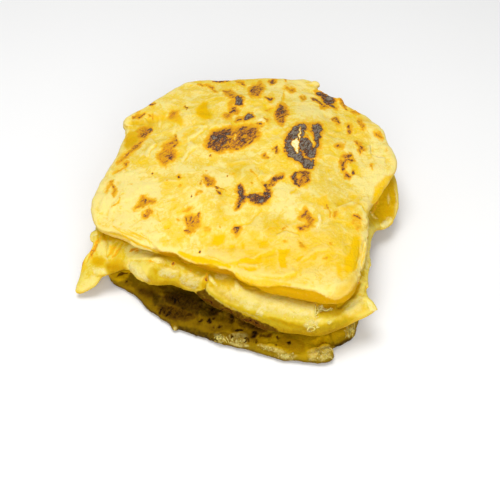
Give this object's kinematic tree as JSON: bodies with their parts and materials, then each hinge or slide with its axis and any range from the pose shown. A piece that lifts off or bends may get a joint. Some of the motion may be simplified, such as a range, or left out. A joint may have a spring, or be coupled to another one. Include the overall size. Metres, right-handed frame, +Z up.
{
  "type": "folded flaky flatbread",
  "caption": "Flaky griddled flatbread folded into puffed layers, open at the front, with a drooping flap and scorched spots on top.",
  "frame": {"origin": "under the middle of the footprint, on the surface that the bread lies on", "axes": "+Z up, the open front of the layers faces -Y, and the drooping flap is at -X"},
  "size_m": [0.1728, 0.1868, 0.0461],
  "materials": {
    "browned_top": "butter-yellow pan-fried dough with brown and charred blisters, lightly oily",
    "floured_middle": "pale yellow dough with cream floury patches and thin flaky edges, satin",
    "shaded_bottom": "yellow dough with brown griddle blotches and a crumbly pale rim, dull satin"
  },
  "bodies": {
    "root": {"top_layer": "browned_top", "middle_layer": "floured_middle", "bottom_layer": "shaded_bottom"}
  },
  "joints": []
}
